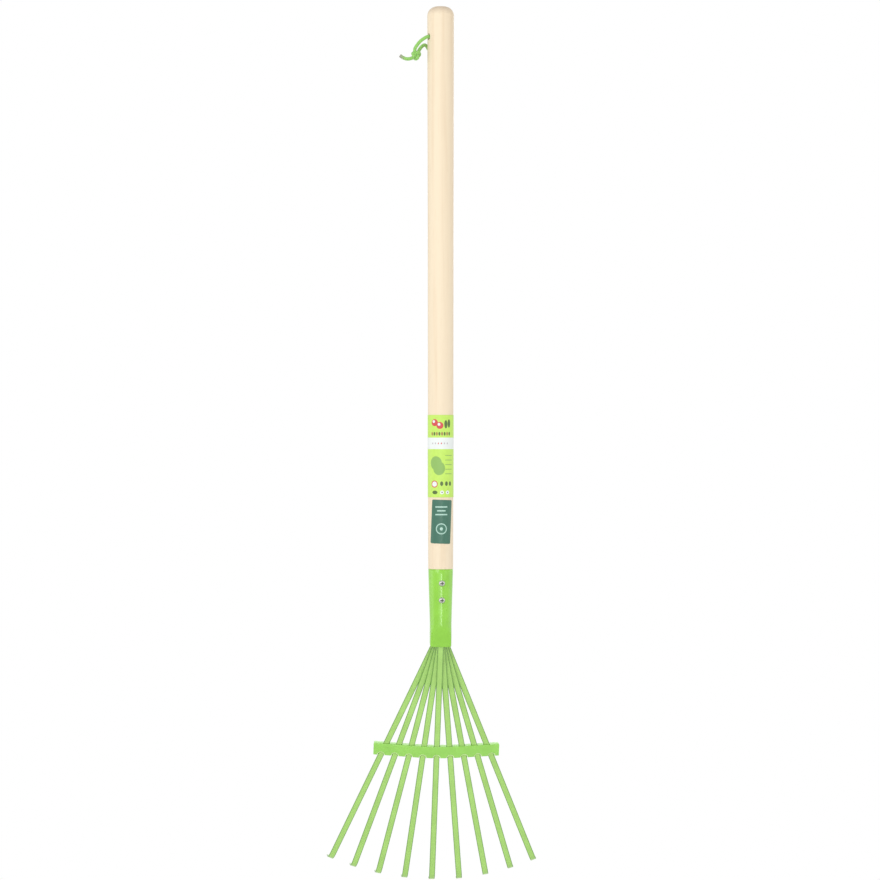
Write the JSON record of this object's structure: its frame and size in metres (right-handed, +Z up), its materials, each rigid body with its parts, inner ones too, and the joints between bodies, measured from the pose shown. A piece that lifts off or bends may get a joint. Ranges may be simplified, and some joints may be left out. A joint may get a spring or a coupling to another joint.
{
  "type": "child's fan rake",
  "caption": "Child's fan rake with a turned wooden handle, a pressed steel socket, hooked spring tines held apart by a bowed crossbar, and a knotted hanging cord.",
  "frame": {"origin": "on the handle's axis, in the middle of its parallel grip stretch", "axes": "+Z up along the handle to its rounded top, +X to the right seen from the front, -Y to the front, the side the screws are on; the hooks turn to +Y"},
  "size_m": [0.1989, 0.1006, 0.813],
  "materials": {
    "wood": "satin",
    "green_paint": "satin",
    "screw_steel": "satin",
    "green_cord": "matte",
    "label": "satin",
    "seal": "satin"
  },
  "bodies": {
    "root": {"handle": "wood", "socket": "green_paint", "upper_screw": "screw_steel", "lower_screw": "screw_steel", "tine_1": "green_paint", "tine_2": "green_paint", "tine_3": "green_paint", "tine_4": "green_paint", "tine_5": "green_paint", "tine_6": "green_paint", "tine_7": "green_paint", "tine_8": "green_paint", "tine_9": "green_paint", "crossbar": "green_paint", "hang_cord": "green_cord", "cord_knot": "green_cord", "wrap_label": "label", "seal_sticker": "seal"}
  },
  "joints": []
}
